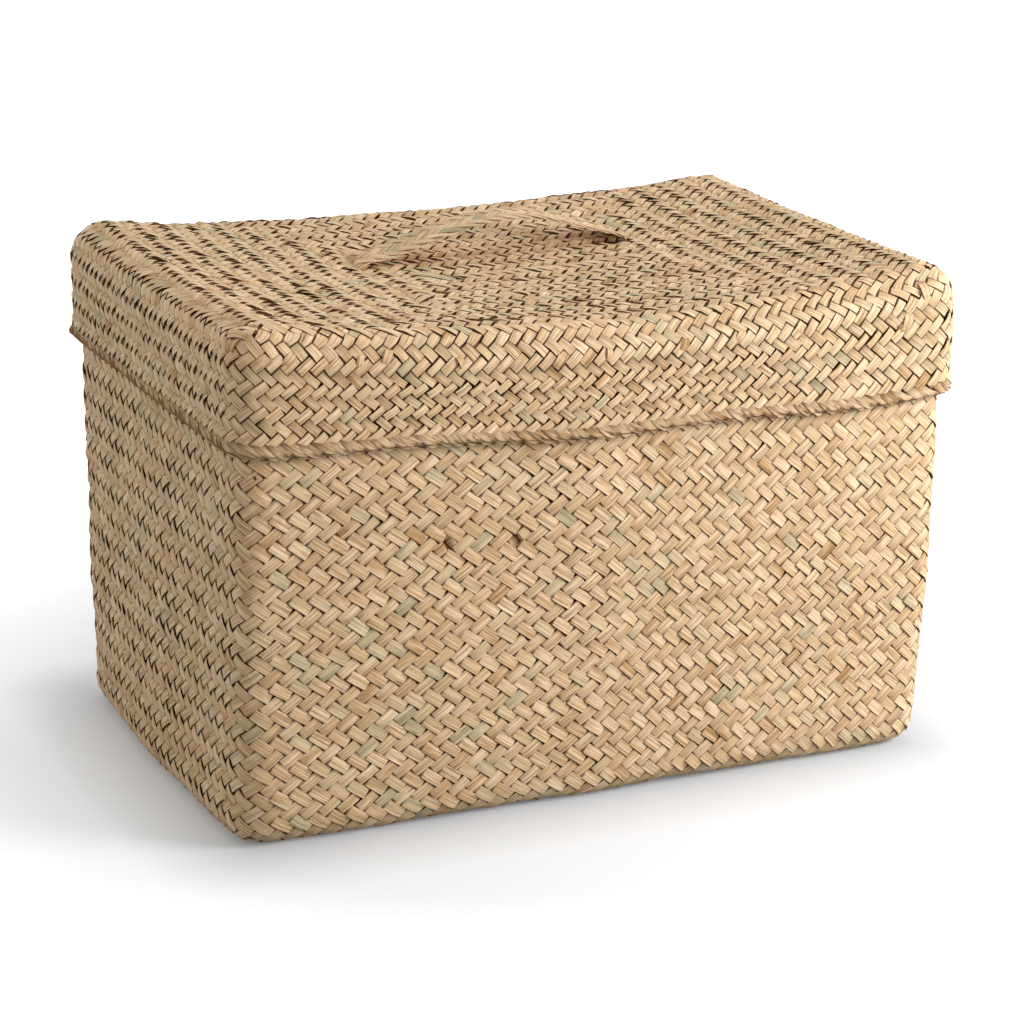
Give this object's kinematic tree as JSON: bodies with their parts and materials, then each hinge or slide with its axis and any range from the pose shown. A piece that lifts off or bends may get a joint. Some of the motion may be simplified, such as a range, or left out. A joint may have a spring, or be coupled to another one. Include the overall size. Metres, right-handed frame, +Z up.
{
  "type": "plaited lidded box",
  "caption": "Rectangular plaited straw storage box with a telescoping lid that lifts off by a strap handle.",
  "frame": {"origin": "middle of the footprint, on the surface that the box stands on", "axes": "+X along the long side to the right, +Y from the front to the back, +Z up"},
  "size_m": [0.3704, 0.2544, 0.2524],
  "materials": {
    "straw_outer": "twill plait of dry straw strips, satin",
    "straw_inner": "twill plait of dry straw strips, matt",
    "straw_fold": "folded straw strips, satin",
    "straw_strap": "narrow flat plait of straw strips, satin"
  },
  "bodies": {
    "body": {"body_outer_ply": "straw_outer", "body_inner_ply": "straw_inner", "body_rim_fold": "straw_fold"},
    "lid": {"lid_outer_ply": "straw_outer", "lid_inner_ply": "straw_inner", "lid_hem_fold": "straw_fold", "handle_strap": "straw_strap"}
  },
  "joints": [
    {"name": "lid_lift", "type": "slide", "parent": "body", "child": "lid", "axis": [0, 0, 1], "range_m": [0, 0.26]}
  ]
}
